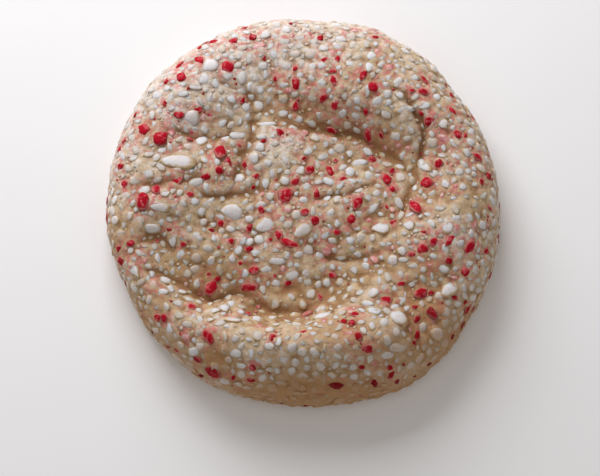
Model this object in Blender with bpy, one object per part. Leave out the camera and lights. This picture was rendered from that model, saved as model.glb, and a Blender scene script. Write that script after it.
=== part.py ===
"""A round sugar cookie crusted with crushed peppermint candy.

The dough is one soft disc with a rolled rim, a sunken middle and baked-in folds. The crushed candy is
fused to it, so the cookie is one solid. Lengths are in millimetres until the finished mesh is scaled to
metres. x points right, y away from the cookie's front and z up, and the origin is the middle of its base.
"""

import math
import random

import bmesh
import bpy
import numpy as np
from mathutils import Matrix, Vector, noise

MM = 0.001

# Outline and side of the dough
CLOCK_RADII = (38.0, 38.2, 37.3, 37.8, 38.0, 39.3, 38.1, 38.2, 37.2, 37.6, 38.2, 38.7)  # from 12 o'clock on
WIDEST_HEIGHT = 4.6
CREST_HEIGHT = 13.6
CREST_SHARE = 0.69  # of the outline's radius, where the rim is highest
BASE_SHARE = 0.94  # of the outline's radius, where the side meets the flat base
SHOULDER_POWER = 2.15  # 2 is an ellipse, more is squarer
CREST_REACH = 0.6  # of the way over the surface from the middle to the widest edge
FOOT_REACH = 0.12  # how much further the surface runs, under the widest edge
LUMP_HEIGHT = 0.7
LUMP_SPACING = 9.0

# Mesh of the dough
LATTICE_RINGS = 21
FOOT_RINGS = 3
BASE_INSET = 6.0

# The hollows and folds below are placed about a point this far in front of the middle, and the chips too
FRONT_SHIFT = 1.1
CHIP_FRONT_SHIFT = 1.6

# Sunken places: x, y, radius along, radius across, turn in degrees, depth, sharpness of the wall
HOLLOWS = (
    (1.0, -0.5, 19.0, 17.5, -4, 3.0, 3.0),
    (-21.5, -15.5, 11.0, 6.0, -6, 2.8, 2.0),
    (9.0, -14.0, 9.0, 4.0, 15, 1.3, 1.5),
    (-4.0, -19.0, 13.0, 5.0, -3, 2.0, 2.0),
    (16.0, 12.0, 11.0, 7.0, -24, 1.5, 2.0),
    (-16.0, 12.5, 7.0, 4.5, 0, 1.1, 2.0),
    (-8.0, 18.0, 11.0, 4.5, 4, 1.6, 1.5),
    (-28.0, -8.0, 6.5, 3.6, 0, 1.3, 2.0),
    (21.0, -17.5, 9.0, 3.0, 20, 1.3, 1.5),
    (24.5, -22.5, 3.0, 6.0, -30, 1.6, 1.5),
)
# Raised places: x, y, radius along, radius across, turn in degrees, height
MOUNDS = (
    (-5.0, 9.0, 11.0, 8.0, -8, 2.1),
    (9.0, 2.0, 11.0, 5.5, 12, 1.2),
    (1.5, -3.5, 6.5, 4.0, -10, 1.1),
    (18.0, -6.5, 9.0, 4.5, 30, 1.1),
    (29.0, -4.5, 8.0, 9.0, 0, 0.7),
    (-6.0, -8.5, 7.0, 4.0, 0, 0.7),
    (-25.0, 6.0, 9.0, 3.0, -4, 0.6),
    (-26.0, 0.0, 9.0, 2.6, 4, 0.9),
    (12.0, -28.0, 9.0, 4.5, 16, 1.0),
    (-1.0, -29.5, 9.0, 4.5, 0, 1.0),
    (-13.0, -29.0, 9.0, 4.5, -6, 1.0),
    (-27.0, -18.0, 6.0, 4.0, -24, 0.8),
    (13.0, 21.0, 9.0, 6.0, -10, 0.6),
    (-27.0, 20.0, 8.0, 6.0, 40, 0.5),
    (27.5, -18.5, 6.0, 3.0, 20, 0.9),
)
# Creases where the crust has folded: points along, depth, half width
CREASES = (
    (((-3.0, 15.6), (6.0, 14.6), (11.5, 13.0), (16.0, 10.2), (20.5, 5.5)), 1.5, 1.6),
    (((20.5, 5.5), (22.8, 10.5), (22.5, 16.0), (18.0, 22.0)), 1.2, 1.2),
    (((20.5, 5.5), (19.5, 1.0), (18.5, -3.0)), 0.8, 1.4),
    (((14.0, 4.0), (7.0, 2.0), (0.0, 0.2)), 0.8, 1.0),
    (((-9.5, 18.5), (-9.2, 14.5), (-11.5, 9.0), (-13.5, 2.0)), 1.0, 1.5),
    (((-25.0, 14.5), (-18.0, 13.0), (-11.0, 13.8)), 0.75, 1.4),
    (((-21.0, 2.0), (-14.0, 1.5), (-7.0, 3.0)), 0.6, 1.2),
    (((-33.0, 3.5), (-24.0, 4.0), (-17.0, 5.2)), 0.5, 1.4),
    (((-22.0, -16.2), (-17.6, -17.9), (-13.9, -17.0), (-10.1, -17.9)), 1.2, 1.2),
    (((-10.5, -17.6), (-8.0, -19.3), (-4.4, -20.4), (0.0, -20.2), (3.8, -18.6)), 1.6, 2.0),
    (((-31.0, -7.5), (-27.0, -6.5), (-23.0, -9.0)), 0.8, 1.8),
    (((-33.0, -12.0), (-26.5, -13.5), (-20.0, -16.5)), 0.8, 1.4),
    (((1.5, -8.5), (7.5, -10.2), (13.5, -8.8)), 0.8, 1.2),
    (((19.0, -20.0), (21.0, -26.0), (25.0, -31.0)), 1.1, 1.6),
    (((-18.0, 24.0), (-12.0, 22.5), (-8.0, 19.0)), 0.5, 1.4),
)
# Banks that stand over a fold, on the left of the way the points run: points, height, width, reach
BANKS = (
    (((-6.0, 15.8), (0.0, 15.8), (6.0, 14.8), (11.5, 13.0), (16.0, 10.2), (20.5, 5.5)), 1.8, 6.5, 9.0),
    (((14.5, -9.6), (10.2, -13.0), (6.8, -15.8), (3.2, -18.6), (0.0, -20.6), (-4.4, -21.0), (-8.2, -20.1),
      (-12.0, -17.9), (-17.6, -17.9), (-24.0, -15.8)), 1.8, 6.0, 14.0),
)

# Chips that stand out on the top: x, y, length, width, turn of the length in degrees
RED_CHIPS = (
    (-26.9, 13.2, 3.2, 2.5, 38),
    (-15.8, 10.5, 2.5, 2.3, 80),
    (-3.4, 2.0, 2.8, 2.4, 40),
    (-14.3, 27.1, 2.1, 1.9, 90),
    (-1.4, 23.8, 2.2, 1.5, 80),
    (13.3, 22.6, 2.0, 1.7, 0),
    (-30.0, 0.4, 3.1, 1.9, 75),
    (-23.9, 4.6, 2.7, 1.8, 55),
    (15.8, 5.7, 2.2, 1.8, -80),
    (16.6, 3.6, 1.5, 1.2, -30),
    (10.1, 0.7, 2.8, 1.6, 68),
    (9.0, -2.5, 1.8, 1.7, 90),
    (21.0, -0.2, 3.1, 1.9, -58),
    (23.3, 4.5, 2.2, 2.0, 20),
    (-2.4, -7.0, 3.8, 1.5, -20),
    (-9.4, -12.0, 2.0, 1.5, 10),
    (-9.9, -15.0, 3.1, 1.5, 2),
    (-17.2, -15.3, 2.6, 2.2, 60),
    (0.7, -20.3, 2.6, 1.7, 20),
    (22.2, -8.7, 2.3, 1.8, 35),
    (24.2, -7.6, 1.7, 1.4, 60),
    (31.1, -8.0, 2.8, 1.5, 60),
    (21.8, -16.9, 2.3, 1.9, 30),
    (23.9, -20.4, 2.6, 1.8, -60),
    (15.4, -18.2, 1.9, 1.6, -20),
    (-17.5, -25.4, 2.7, 1.9, -60),
    (-16.6, -31.2, 2.9, 2.0, 0),
    (6.1, -34.0, 2.3, 1.6, -5),
    (11.6, -28.2, 2.1, 1.5, -20),
    (9.5, -21.3, 1.6, 1.5, 0),
    (32.8, 9.8, 2.0, 1.4, -15),
    (29.1, 14.0, 1.8, 1.5, -60),
    (5.3, 15.8, 2.2, 1.4, -55),
    (12.4, 14.4, 2.9, 1.5, 80),
    (5.1, 7.0, 2.2, 1.4, -60),
    (-1.4, 19.9, 2.0, 1.3, 75),
    (6.0, 19.5, 1.9, 1.5, 70),
)
WHITE_CHIPS = (
    (-23.9, 8.5, 7.0, 2.6, -7),
    (-0.1, -4.6, 3.6, 2.5, 28),
    (-13.5, -0.8, 4.2, 2.5, -20),
    (-21.3, 17.2, 2.7, 2.5, 0),
    (17.7, -22.2, 3.1, 2.7, 110),
    (18.4, -17.8, 3.2, 2.2, 75),
    (12.8, -16.9, 2.4, 2.2, 0),
    (27.1, -16.1, 3.5, 2.5, 35),
    (14.5, -3.9, 3.2, 2.6, -10),
    (12.9, -0.2, 3.7, 1.5, 45),
    (22.9, 8.2, 4.3, 2.0, -45),
    (19.0, 18.4, 3.6, 1.7, 5),
    (-26.8, -0.6, 3.4, 1.8, -10),
    (-28.5, -4.2, 3.2, 1.8, 3),
    (-8.6, 20.0, 2.6, 2.2, 60),
    (-17.8, 27.6, 3.0, 2.2, 20),
    (-0.4, -32.6, 2.3, 1.7, 0),
    (-13.0, -22.4, 3.0, 1.4, 15),
    (-17.0, -20.2, 3.2, 1.7, 20),
    (-6.0, -21.4, 2.3, 1.8, 50),
    (-23.0, 22.0, 2.4, 1.6, -20),
    (13.0, -20.6, 2.6, 1.7, -15),
)

# Candy that is scattered over the rest, the largest first
SEED = 12
SCATTERED_CHIPS = 126
SCATTER_LONGEST = 2.7
SCATTER_SHORTEST = 1.7
SCATTER_GAP = 0.35
SCATTER_REACH = 1.03
SCATTER_TRIES = 8
RED_EVERY = 6
CHIP_THICKNESS = 0.8  # of the chip's width
CHIP_RISE = 0.15  # of the chip's thickness, from the dough's surface to the chip's middle
CHIP_UNEVENNESS = 0.14
CHIP_TILT = 12

# Colour and roughness of each material
MATERIALS = {
    "dough": ((0.50, 0.34, 0.21, 1), 0.75),
    "white candy": ((0.72, 0.69, 0.68, 1), 0.35),
    "red candy": ((0.42, 0.012, 0.025, 1), 0.35),
}


def smooth_ramp(t):
    """0 below 0, 1 above 1, with level ends between."""
    t = np.clip(t, 0, 1)
    return t * t * (3 - 2 * t)


def between(a, b, c, d, t):
    """A point of the smooth curve from b to c, whose neighbours are a and d."""
    return b + 0.5 * t * (c - a + t * (2 * a - 5 * b + 4 * c - d + t * (3 * (b - c) + d - a)))


def outline_radius(angle):
    """The dough's widest radius at an angle from the x axis, smooth through the clock radii."""
    hours = (0.25 - angle / (2 * np.pi)) * 12 % 12
    hour = np.floor(hours).astype(int)
    radii = np.array(CLOCK_RADII)
    return between(*(radii[(hour + step) % 12] for step in (-1, 0, 1, 2)), hours - hour)


def smooth_path(points, steps=6):
    """The points of a smooth curve through a few given ones."""
    given = np.array(points, float)
    given = np.vstack([2 * given[0] - given[1], given, 2 * given[-1] - given[-2]])
    path = [
        between(*given[i - 1 : i + 3], step / steps)
        for i in range(1, len(given) - 2)
        for step in range(steps)
    ]
    return np.array(path + [given[-2]])


def beside_path(x, y, points):
    """How far each place is from a curve, how far along it as a share, and whether it lies on its left."""
    path = smooth_path(points)
    lengths = np.hypot(*np.diff(path, axis=0).T)
    nearest = np.full(np.shape(x), np.inf)
    share = np.zeros(np.shape(x))
    left = np.zeros(np.shape(x), bool)
    run = 0.0
    for start, end, length in zip(path[:-1], path[1:], lengths):
        dx, dy = (end - start) / length
        t = np.clip((x - start[0]) * dx + (y - start[1]) * dy, 0, length)
        ex, ey = x - start[0] - t * dx, y - start[1] - t * dy
        distance = np.hypot(ex, ey)
        nearer = distance < nearest
        nearest = np.where(nearer, distance, nearest)
        share = np.where(nearer, (run + t) / lengths.sum(), share)
        left = np.where(nearer, dx * ey - dy * ex > 0, left)
        run += length
    return nearest, share, left


def oval_distance(x, y, place):
    """0 at the middle of a turned oval and 1 on its edge, squared."""
    centre_x, centre_y, along, across, turn = place
    c, s = math.cos(math.radians(turn)), math.sin(math.radians(turn))
    u = (x - centre_x) * c + (y - centre_y) * s
    v = (y - centre_y) * c - (x - centre_x) * s
    return (u / along) ** 2 + (v / across) ** 2


def relief(x, y):
    """How far the top's hollows, mounds, banks and creases lift it above a plain disc."""
    lift = np.zeros(np.shape(x))
    y = y + FRONT_SHIFT
    for *place, depth, sharpness in HOLLOWS:
        lift -= depth / (1 + oval_distance(x, y, place) ** sharpness)
    for *place, height in MOUNDS:
        lift += height * np.exp(-oval_distance(x, y, place))
    for points, height, width, reach in BANKS:
        distance, share, left = beside_path(x, y, points)
        ends = smooth_ramp(share / 0.3) * smooth_ramp((1 - share) / 0.3)
        behind = np.exp(-((np.maximum(distance - width, 0) / reach) ** 2))
        lift += np.where(left, height * smooth_ramp(distance / width) * behind * ends, 0)
    for points, depth, half_width in CREASES:
        distance, share, _ = beside_path(x, y, points)
        ends = smooth_ramp(share / 0.25) * smooth_ramp((1 - share) / 0.25)
        lift -= depth * (0.25 + 0.75 * ends) * np.exp(-((distance / half_width) ** 1.4))
    return lift


def dough_points(reach, angle):
    """Places on the dough. reach is 0 at the top's middle, 1 on the widest edge and more under it."""
    flat = np.clip(reach / CREST_REACH, 0, 1)
    down = np.clip((reach - CREST_REACH) / (1 - CREST_REACH), 0, 1) * np.pi / 2
    under = np.clip((reach - 1) / FOOT_REACH, 0, 1) * np.pi / 2
    power = 2 / SHOULDER_POWER
    share = CREST_SHARE * flat + (1 - CREST_SHARE) * np.sin(down) ** power
    share = share - (1 - BASE_SHARE) * (1 - np.cos(under))
    above = (CREST_HEIGHT - WIDEST_HEIGHT) * np.maximum(np.cos(down), 0) ** power
    z = above + WIDEST_HEIGHT * (1 - np.sin(under))
    radius = share * outline_radius(angle)
    x, y = radius * np.cos(angle), radius * np.sin(angle)
    z = z + relief(x, y) * smooth_ramp((1 - share) / 0.25)
    lumps = np.array([noise.noise(Vector(p) / LUMP_SPACING) for p in zip(x, y, z)]) * LUMP_HEIGHT
    lumps *= 1 - np.sin(under)
    lean = np.sin(down)
    x, y = x + lumps * lean * np.cos(angle), y + lumps * lean * np.sin(angle)
    return np.stack([x, y, z + lumps * (1 - lean)], 1)


def lattice_places(across, along):
    """Reach and angle of a point of a hexagon, as if its sides were bowed out to a circle."""
    angle = np.arctan2(along, across)
    sextant = np.floor(angle / (np.pi / 3))
    middle = (sextant + 0.5) * np.pi / 3
    apothem = across * np.cos(middle) + along * np.sin(middle)
    beside = along * np.cos(middle) - across * np.sin(middle)
    reach = apothem / math.cos(math.pi / 6)
    share = beside / np.maximum(2 * apothem * math.tan(math.pi / 6), 1e-9)
    return reach, middle + share * np.pi / 3


def place_ring(verts, reach, angles):
    for vert, point in zip(verts, dough_points(np.full(len(angles), reach), angles)):
        vert.co = point


def make_dough():
    """The dough as one closed mesh: a lattice over the top, rings down the foot and a flat base."""
    bm = bmesh.new()
    bmesh.ops.create_circle(bm, cap_ends=True, cap_tris=True, segments=6, radius=1)
    bmesh.ops.subdivide_edges(bm, edges=bm.edges[:], cuts=LATTICE_RINGS - 1, use_grid_fill=True)
    flat = np.array([vert.co for vert in bm.verts])
    reach, angle = lattice_places(flat[:, 0], flat[:, 1])
    for vert, point in zip(bm.verts, dough_points(np.clip(reach, 0, 1), angle)):
        vert.co = point
    edge = [e for e in bm.edges if e.is_boundary]
    for ring in range(1, FOOT_RINGS + 1):
        made = bmesh.ops.extrude_edge_only(bm, edges=edge)["geom"]
        verts = [g for g in made if isinstance(g, bmesh.types.BMVert)]
        edge = [g for g in made if isinstance(g, bmesh.types.BMEdge)]
        angles = np.array([math.atan2(v.co.y, v.co.x) for v in verts])
        place_ring(verts, 1 + FOOT_REACH * ring / FOOT_RINGS, angles)
    for vert in verts:
        vert.co.z = 0
    base = bmesh.ops.contextual_create(bm, geom=edge)["faces"]
    bmesh.ops.inset_individual(bm, faces=base, thickness=BASE_INSET)
    bmesh.ops.triangulate(bm, faces=bm.faces[:])
    bmesh.ops.recalc_face_normals(bm, faces=bm.faces[:])
    return finish_object("cookie", bm, "dough")


def finish_object(name, bm, material):
    """A smooth-shaded object of one of the materials, from a bmesh."""
    mesh = bpy.data.meshes.new(name)
    bm.to_mesh(mesh)
    bm.free()
    mesh.shade_smooth()
    mesh.materials.append(plain_material(material))
    made = bpy.data.objects.new(name, mesh)
    bpy.context.scene.collection.objects.link(made)
    return made


def plain_material(name):
    if name in bpy.data.materials:
        return bpy.data.materials[name]
    colour, roughness = MATERIALS[name]
    material = bpy.data.materials.new(name)
    material.use_nodes = True
    shader = material.node_tree.nodes["Principled BSDF"]
    shader.inputs["Base Color"].default_value = colour
    shader.inputs["Roughness"].default_value = roughness
    shader.inputs["Metallic"].default_value = 0
    return material


def reach_of(x, y):
    """How far over the surface the place above x, y lies."""
    angle = math.atan2(y, x)
    share = math.hypot(x, y) / float(outline_radius(np.array(angle)))
    if share <= CREST_SHARE:
        return share / CREST_SHARE * CREST_REACH, angle
    out = ((share - CREST_SHARE) / (1 - CREST_SHARE)) ** (SHOULDER_POWER / 2)
    return CREST_REACH + (1 - CREST_REACH) * math.asin(min(out, 1)) * 2 / math.pi, angle


def make_chip(name, draw, seat, size, turn, kind):
    """One broken piece of candy, a coarse uneven pebble sunk partly in the dough at its seat."""
    point, normal = seat
    length, width = size
    thickness = width * CHIP_THICKNESS
    along = Vector((math.cos(turn), math.sin(turn), 0))
    along = (along - normal * along.dot(normal)).normalized()
    frame = Matrix((along, normal.cross(along), normal)).transposed().to_4x4()
    frame = Matrix.Translation(point + normal * thickness * CHIP_RISE) @ frame
    frame = frame @ Matrix.Rotation(math.radians(draw.uniform(-CHIP_TILT, CHIP_TILT)), 4, "X")
    bm = bmesh.new()
    bmesh.ops.create_icosphere(bm, subdivisions=1, radius=1)
    for vert in bm.verts:
        vert.co *= 1 + draw.uniform(-CHIP_UNEVENNESS, CHIP_UNEVENNESS)
    bmesh.ops.scale(bm, vec=(length / 2, width / 2, thickness / 2), verts=bm.verts[:])
    bmesh.ops.transform(bm, matrix=frame, verts=bm.verts[:])
    return finish_object(name, bm, kind)


def seat_on(dough, reach, angle):
    """The point of the dough's mesh nearest to a place on the smooth surface, and the way it faces there."""
    guess = dough_points(np.array([reach]), np.array([angle]))[0]
    _, point, normal, _ = dough.closest_point_on_mesh(Vector(guess))
    return point, normal


def listed_chips(dough):
    """Seat, size, turn and material of the chips that stand out."""
    chips = []
    for kind, listed in (("red candy", RED_CHIPS), ("white candy", WHITE_CHIPS)):
        for x, y, length, width, turn in listed:
            seat = seat_on(dough, *reach_of(x, y - CHIP_FRONT_SHIFT))
            chips.append((seat, (length, width), math.radians(turn), kind))
    return chips


def scattered_chips(dough, draw, taken):
    """The same for the chips that fill the rest, largest first and apart from each other."""
    chips = []
    for length in np.linspace(SCATTER_LONGEST, SCATTER_SHORTEST, SCATTERED_CHIPS):
        tries = []
        for _ in range(SCATTER_TRIES):
            seat = seat_on(dough, SCATTER_REACH * math.sqrt(draw.random()), draw.uniform(-math.pi, math.pi))
            room = min((seat[0] - other).length - (length + size) / 2 for other, size in taken)
            tries.append((room, seat))
        room, seat = max(tries, key=lambda found: found[0])
        kind = "white candy" if len(chips) % RED_EVERY else "red candy"
        size = (length, length * draw.uniform(0.6, 0.85))
        turn = draw.uniform(0, math.pi)
        if room > SCATTER_GAP:
            taken.append((seat[0], length))
            chips.append((seat, size, turn, kind))
    return chips


def make_candy(dough):
    """All the chips, in a collection of their own."""
    draw = random.Random(SEED)
    chips = listed_chips(dough)
    chips += scattered_chips(dough, draw, [(seat[0], size[0]) for seat, size, _, _ in chips])
    candy = bpy.data.collections.new("candy")
    bpy.context.scene.collection.children.link(candy)
    for number, chip in enumerate(chips):
        made = make_chip(f"chip_{number}", draw, *chip)
        bpy.context.scene.collection.objects.unlink(made)
        candy.objects.link(made)
    return candy


def fuse(dough, candy):
    """Joins the candy to the dough in one union, then removes the loose chips."""
    union = dough.modifiers.new("union", "BOOLEAN")
    union.operation = "UNION"
    union.operand_type = "COLLECTION"
    union.collection = candy
    union.solver = "MANIFOLD"
    graph = bpy.context.evaluated_depsgraph_get()
    fused = bpy.data.meshes.new_from_object(dough.evaluated_get(graph))
    dough.modifiers.clear()
    dough.data = fused
    for chip in list(candy.objects):
        bpy.data.objects.remove(chip)
    bpy.data.collections.remove(candy)


def main():
    for obj in list(bpy.data.objects):
        bpy.data.objects.remove(obj)
    dough = make_dough()
    bpy.context.view_layer.update()
    fuse(dough, make_candy(dough))
    dough.data.transform(Matrix.Scale(MM, 4))


main()
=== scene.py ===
import math

import bmesh
import bpy
import numpy as np
from mathutils import Matrix, Vector, noise
from mathutils.bvhtree import BVHTree
from mathutils.kdtree import KDTree


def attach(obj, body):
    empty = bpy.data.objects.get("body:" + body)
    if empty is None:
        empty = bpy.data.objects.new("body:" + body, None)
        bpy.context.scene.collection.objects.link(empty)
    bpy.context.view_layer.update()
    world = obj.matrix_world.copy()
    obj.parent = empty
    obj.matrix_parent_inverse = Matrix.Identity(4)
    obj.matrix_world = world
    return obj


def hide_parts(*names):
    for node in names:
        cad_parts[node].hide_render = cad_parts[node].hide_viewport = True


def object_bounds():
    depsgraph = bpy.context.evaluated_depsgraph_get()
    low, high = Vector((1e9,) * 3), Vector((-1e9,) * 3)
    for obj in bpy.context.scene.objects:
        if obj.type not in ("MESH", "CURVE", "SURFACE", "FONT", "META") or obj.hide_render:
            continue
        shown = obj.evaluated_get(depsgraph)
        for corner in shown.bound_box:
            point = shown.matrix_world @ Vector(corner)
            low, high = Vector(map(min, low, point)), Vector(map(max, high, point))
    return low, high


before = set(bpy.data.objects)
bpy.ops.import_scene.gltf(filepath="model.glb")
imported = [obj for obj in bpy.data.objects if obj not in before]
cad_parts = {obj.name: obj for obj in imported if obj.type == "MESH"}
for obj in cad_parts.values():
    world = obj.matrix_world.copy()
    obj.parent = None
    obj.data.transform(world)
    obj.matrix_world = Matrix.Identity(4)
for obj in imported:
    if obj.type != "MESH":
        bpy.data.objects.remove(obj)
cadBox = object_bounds()
mm = 0.001
boxLow = np.array(cadBox[0]) / mm
boxHigh = np.array(cadBox[1]) / mm

# The dough's form, the same as the solid's

doughForm = {
    "clockRadii": (38.0, 38.2, 37.3, 37.8, 38.0, 39.3, 38.1, 38.2, 37.2, 37.6, 38.2, 38.7),
    "widestHeight": 4.6,
    "crestHeight": 13.6,
    "crestShare": 0.69,
    "baseShare": 0.94,
    "shoulderPower": 2.15,
    "crestReach": 0.6,
    "footReach": 0.12,
    "lumpHeight": 0.7,
    "lumpSpacing": 9.0,
    "skin": 0.3,  # the crust's thickness, which the dough leaves room for
    "wander": 0.8,  # how far the folds stray from their smooth lines
    "wanderSpacing": 3.6,
    "frontShift": 1.1,  # the hollows, folds and chips are placed about a point this far in front of the middle
    # x, y, radius along, radius across, turn, depth, sharpness of the wall
    "hollows": (
        (1.0, -0.5, 19.0, 17.5, -4, 3.0, 3.0),
        (-21.5, -15.5, 11.0, 6.0, -6, 2.8, 2.0),
        (9.0, -14.0, 9.0, 4.0, 15, 1.3, 1.5),
        (-4.0, -19.0, 13.0, 5.0, -3, 2.0, 2.0),
        (16.0, 12.0, 11.0, 7.0, -24, 1.5, 2.0),
        (-16.0, 12.5, 7.0, 4.5, 0, 1.1, 2.0),
        (-8.0, 18.0, 11.0, 4.5, 4, 1.6, 1.5),
        (-28.0, -8.0, 6.5, 3.6, 0, 1.3, 2.0),
        (21.0, -17.5, 9.0, 3.0, 20, 1.3, 1.5),
        (24.5, -22.5, 3.0, 6.0, -30, 1.6, 1.5),
    ),
    # x, y, radius along, radius across, turn, height
    "mounds": (
        (-5.0, 9.0, 11.0, 8.0, -8, 2.1),
        (9.0, 2.0, 11.0, 5.5, 12, 1.2),
        (1.5, -3.5, 6.5, 4.0, -10, 1.1),
        (18.0, -6.5, 9.0, 4.5, 30, 1.1),
        (29.0, -4.5, 8.0, 9.0, 0, 0.7),
        (-6.0, -8.5, 7.0, 4.0, 0, 0.7),
        (-25.0, 6.0, 9.0, 3.0, -4, 0.6),
        (-26.0, 0.0, 9.0, 2.6, 4, 0.9),
        (12.0, -28.0, 9.0, 4.5, 16, 1.0),
        (-1.0, -29.5, 9.0, 4.5, 0, 1.0),
        (-13.0, -29.0, 9.0, 4.5, -6, 1.0),
        (-27.0, -18.0, 6.0, 4.0, -24, 0.8),
        (13.0, 21.0, 9.0, 6.0, -10, 0.6),
        (-27.0, 20.0, 8.0, 6.0, 40, 0.5),
        (27.5, -18.5, 6.0, 3.0, 20, 0.9),
    ),
    # points along the fold, depth, half width
    "creases": (
        (((-3.0, 15.6), (6.0, 14.6), (11.5, 13.0), (16.0, 10.2), (20.5, 5.5)), 1.5, 1.16),
        (((20.5, 5.5), (22.8, 10.5), (22.5, 16.0), (18.0, 22.0)), 1.23, 0.87),
        (((20.5, 5.5), (19.5, 1.0), (18.5, -3.0)), 0.79, 1.01),
        (((14.0, 4.0), (7.0, 2.0), (0.0, 0.2)), 0.79, 0.72),
        (((-9.5, 18.5), (-9.2, 14.5), (-11.5, 9.0), (-13.5, 2.0)), 1.0, 1.1),
        (((-25.0, 14.5), (-18.0, 13.0), (-11.0, 13.8)), 0.75, 1.01),
        (((-21.0, 2.0), (-14.0, 1.5), (-7.0, 3.0)), 0.6, 0.87),
        (((-33.0, 3.5), (-24.0, 4.0), (-17.0, 5.2)), 0.5, 1.01),
        (((-22.0, -16.2), (-17.6, -17.9), (-13.9, -17.0), (-10.1, -17.9)), 1.2, 0.9),
        (((-10.5, -17.6), (-8.0, -19.3), (-4.4, -20.4), (0.0, -20.2), (3.8, -18.6)), 1.6, 1.5),
        (((-31.0, -7.5), (-27.0, -6.5), (-23.0, -9.0)), 0.79, 1.3),
        (((-33.0, -12.0), (-26.5, -13.5), (-20.0, -16.5)), 0.79, 1.01),
        (((1.5, -8.5), (7.5, -10.2), (13.5, -8.8)), 0.79, 0.87),
        (((19.0, -20.0), (21.0, -26.0), (25.0, -31.0)), 1.06, 1.16),
        (((-18.0, 24.0), (-12.0, 22.5), (-8.0, 19.0)), 0.53, 1.01),
    ),
    # a bank stands over a fold, on the left of the way its points run: points, height, width, reach
    "banks": (
        (((-6.0, 15.8), (0.0, 15.8), (6.0, 14.8), (11.5, 13.0), (16.0, 10.2), (20.5, 5.5)), 1.8, 6.5, 9.0),
        (((14.5, -9.6), (10.2, -13.0), (6.8, -15.8), (3.2, -18.6), (0.0, -20.6), (-4.4, -21.0), (-8.2, -20.1),
          (-12.0, -17.9), (-17.6, -17.9), (-24.0, -15.8)), 1.8, 6.0, 14.0),
    ),
}


def smoothRamp(t):
    t = np.clip(t, 0, 1)
    return t * t * (3 - 2 * t)


def between(a, b, c, d, t):  # a point of the smooth curve from b to c
    return b + 0.5 * t * (c - a + t * (2 * a - 5 * b + 4 * c - d + t * (3 * (b - c) + d - a)))


def outlineRadius(angle):
    hours = (0.25 - angle / (2 * np.pi)) * 12 % 12
    hour = np.floor(hours).astype(int)
    radii = np.array(doughForm["clockRadii"])
    return between(*(radii[(hour + step) % 12] for step in (-1, 0, 1, 2)), hours - hour)


def smoothPath(points, steps=6):
    given = np.array(points, float)
    given = np.vstack([2 * given[0] - given[1], given, 2 * given[-1] - given[-2]])
    path = [
        between(*given[i - 1 : i + 3], step / steps)
        for i in range(1, len(given) - 2)
        for step in range(steps)
    ]
    return np.array(path + [given[-2]])


def besidePath(x, y, points):  # distance from a curve, share of the way along it, and whether on its left
    path = smoothPath(points)
    lengths = np.hypot(*np.diff(path, axis=0).T)
    nearest = np.full(np.shape(x), np.inf)
    share = np.zeros(np.shape(x))
    left = np.zeros(np.shape(x), bool)
    run = 0.0
    for start, end, length in zip(path[:-1], path[1:], lengths):
        dx, dy = (end - start) / length
        t = np.clip((x - start[0]) * dx + (y - start[1]) * dy, 0, length)
        ex, ey = x - start[0] - t * dx, y - start[1] - t * dy
        distance = np.hypot(ex, ey)
        nearer = distance < nearest
        nearest = np.where(nearer, distance, nearest)
        share = np.where(nearer, (run + t) / lengths.sum(), share)
        left = np.where(nearer, dx * ey - dy * ex > 0, left)
        run += length
    return nearest, share, left


def ovalDistance(x, y, place):  # 0 in the middle of a turned oval, 1 on its edge, squared
    middleX, middleY, along, across, turn = place
    c, s = math.cos(math.radians(turn)), math.sin(math.radians(turn))
    u = (x - middleX) * c + (y - middleY) * s
    v = (y - middleY) * c - (x - middleX) * s
    return (u / along) ** 2 + (v / across) ** 2


def foldDepth(x, y):
    depth = np.zeros(np.shape(x))
    for points, deep, halfWidth in doughForm["creases"]:
        distance, share, _ = besidePath(x, y, points)
        ends = smoothRamp(share / 0.25) * smoothRamp((1 - share) / 0.25)
        depth += deep * (0.25 + 0.75 * ends) * np.exp(-((distance / halfWidth) ** 1.4))
    return depth


def relief(x, y):
    lift = np.zeros(np.shape(x))
    for *place, depth, sharpness in doughForm["hollows"]:
        lift -= depth / (1 + ovalDistance(x, y, place) ** sharpness)
    for *place, height in doughForm["mounds"]:
        lift += height * np.exp(-ovalDistance(x, y, place))
    for points, height, width, reach in doughForm["banks"]:
        distance, share, left = besidePath(x, y, points)
        ends = smoothRamp(share / 0.3) * smoothRamp((1 - share) / 0.3)
        behind = np.exp(-((np.maximum(distance - width, 0) / reach) ** 2))
        lift += np.where(left, height * smoothRamp(distance / width) * behind * ends, 0)
    return lift


def noiseOver(points, spacing, shift=0.0):
    offset = Vector((shift, shift * 0.37, -shift * 0.61))
    return np.array([noise.noise(Vector(p) / spacing + offset) for p in points])


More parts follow.
